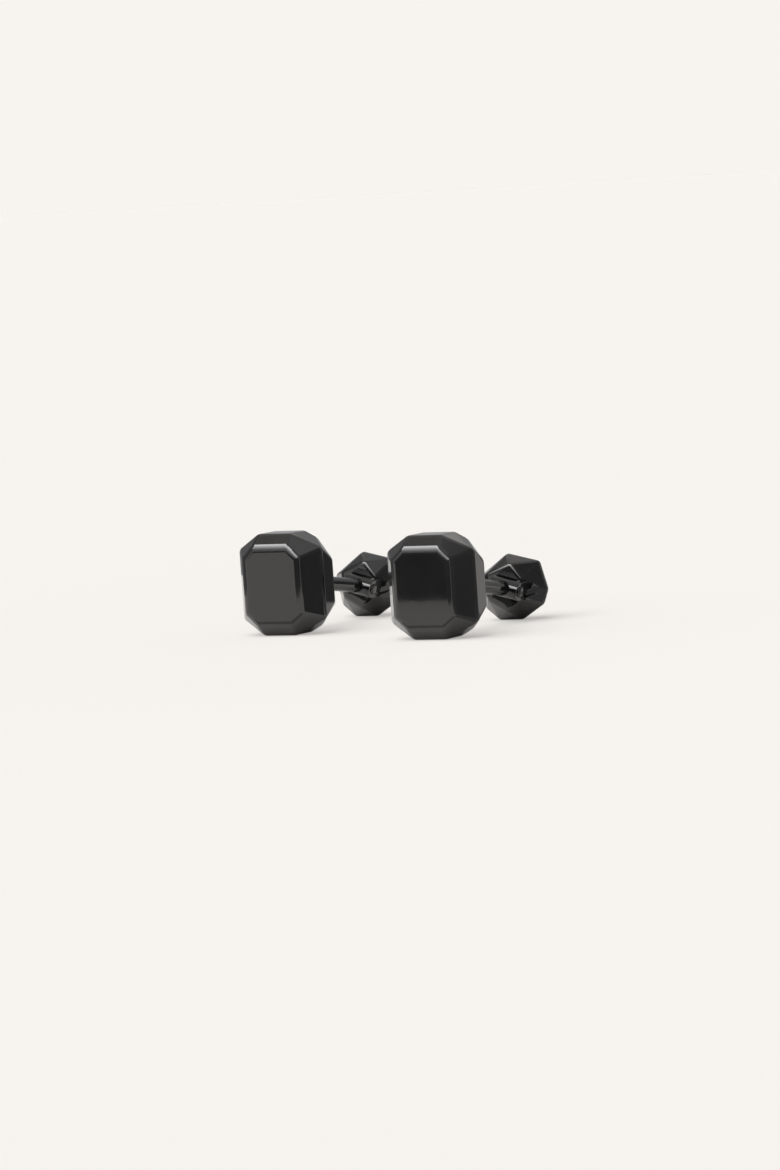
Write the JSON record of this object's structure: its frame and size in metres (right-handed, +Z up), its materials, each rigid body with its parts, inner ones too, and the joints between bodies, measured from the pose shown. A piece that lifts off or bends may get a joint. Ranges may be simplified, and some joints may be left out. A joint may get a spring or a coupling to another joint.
{
  "type": "cufflinks",
  "caption": "Glossy black faceted cufflinks with step-cut heads, sloping posts and faceted swivel buttons.",
  "frame": {"origin": "point on the right head's resting facet, under the middle of the head", "axes": "+Y from the right head to its button, +X to the right seen from the front of the head, +Z up"},
  "size_m": [0.0366, 0.0344, 0.0125],
  "materials": {
    "black_lacquer": "high gloss black lacquer",
    "black_plating": "polished black plating",
    "spring_steel": "blackened, fine brushed"
  },
  "bodies": {
    "right_head": {"right_head_shell": "black_lacquer", "right_back_plate": "black_plating", "right_stem_foot": "black_plating", "right_stem_post": "black_plating"},
    "right_button": {"right_button_base": "black_lacquer", "right_button_cap": "black_lacquer", "right_button_clevis": "black_plating", "right_hinge_pin": "black_plating", "right_friction_washers": "spring_steel"},
    "left_head": {"left_head_shell": "black_lacquer", "left_back_plate": "black_plating", "left_stem_foot": "black_plating", "left_stem_post": "black_plating"},
    "left_button": {"left_button_base": "black_lacquer", "left_button_cap": "black_lacquer", "left_button_clevis": "black_plating", "left_hinge_pin": "black_plating", "left_friction_washers": "spring_steel"}
  },
  "joints": [
    {"name": "right_button_swivel", "type": "hinge", "parent": "right_head", "child": "right_button", "pos_m": [0.0009, 0.01715, 0.0042], "axis": [0.9659, 0, -0.2588], "range_deg": [-98, 81]},
    {"name": "left_button_swivel", "type": "hinge", "parent": "left_head", "child": "left_button", "pos_m": [-0.02368, 0.02512, 0.0042], "axis": [0.9656, -0.0236, -0.2588], "range_deg": [-98, 81]},
    {"name": "left_lift", "type": "slide", "parent": "right_head", "child": "left_head", "axis": [0, 0, 1], "range_m": [0, 0.03]}
  ]
}
